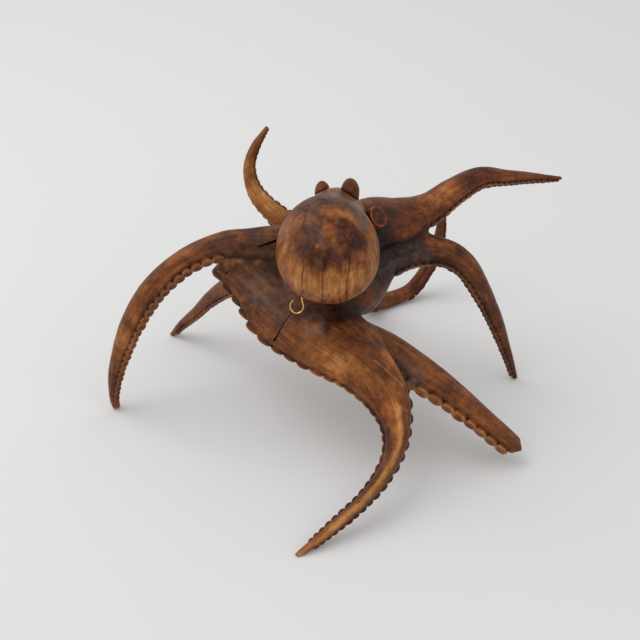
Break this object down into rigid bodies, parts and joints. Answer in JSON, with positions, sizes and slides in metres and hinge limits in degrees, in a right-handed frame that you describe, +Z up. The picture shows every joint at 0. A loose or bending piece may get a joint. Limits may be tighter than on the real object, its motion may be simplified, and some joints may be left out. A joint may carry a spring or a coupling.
{
  "type": "octopus sculpture",
  "caption": "Carved wooden octopus standing on its arm tips, with a pear-shaped mantle, curling suckered arms doweled to a central body and a small brass hook under the mantle.",
  "frame": {"origin": "on the floor, below the middle of the arms' spread", "axes": "+Z up, +X towards the longer raised arm's side, -Y the way the mantle points"},
  "size_m": [0.7347, 0.6989, 0.4171],
  "materials": {
    "dark_wood": "dark waxed hardwood, worn lighter on the ridges",
    "brown_wood": "waxed hardwood with a red-brown stain, tan where it is rubbed",
    "tan_wood": "waxed hardwood, lighter sucker side",
    "mantle_wood": "waxed hardwood with dark mottling and long grain lines",
    "dowel_wood": "plain beech",
    "brass": "bright lacquered brass"
  },
  "bodies": {
    "carving": {"body": "dark_wood", "web_left": "dark_wood", "mantle": "mantle_wood", "left_eye": "brown_wood", "right_eye": "brown_wood", "siphon": "brown_wood", "arm_left": "brown_wood", "arm_left_rear": "tan_wood", "arm_rear_left": "tan_wood", "arm_rear_right": "tan_wood", "arm_right_raised": "tan_wood", "arm_right": "brown_wood", "arm_front_right": "brown_wood", "arm_front": "brown_wood", "dowel_left": "dowel_wood", "dowel_front_1": "dowel_wood", "dowel_front_2": "dowel_wood", "dowel_web": "dowel_wood", "dowel_front_right": "dowel_wood", "dowel_neck": "dowel_wood", "dowel_left_rear": "dowel_wood", "dowel_rear_left": "dowel_wood", "dowel_rear_right": "dowel_wood", "dowel_right_raised": "dowel_wood", "dowel_right": "dowel_wood", "peg_left_eye": "dowel_wood", "peg_right_eye": "dowel_wood", "peg_siphon": "dowel_wood"},
    "hook": {"cup_hook": "brass"}
  },
  "joints": [
    {"name": "hook_turn", "type": "hinge", "parent": "carving", "child": "hook", "pos_m": [-0.0536, -0.061, 0.257], "axis": [0, 0, 1], "range_deg": [-90, 180]}
  ]
}
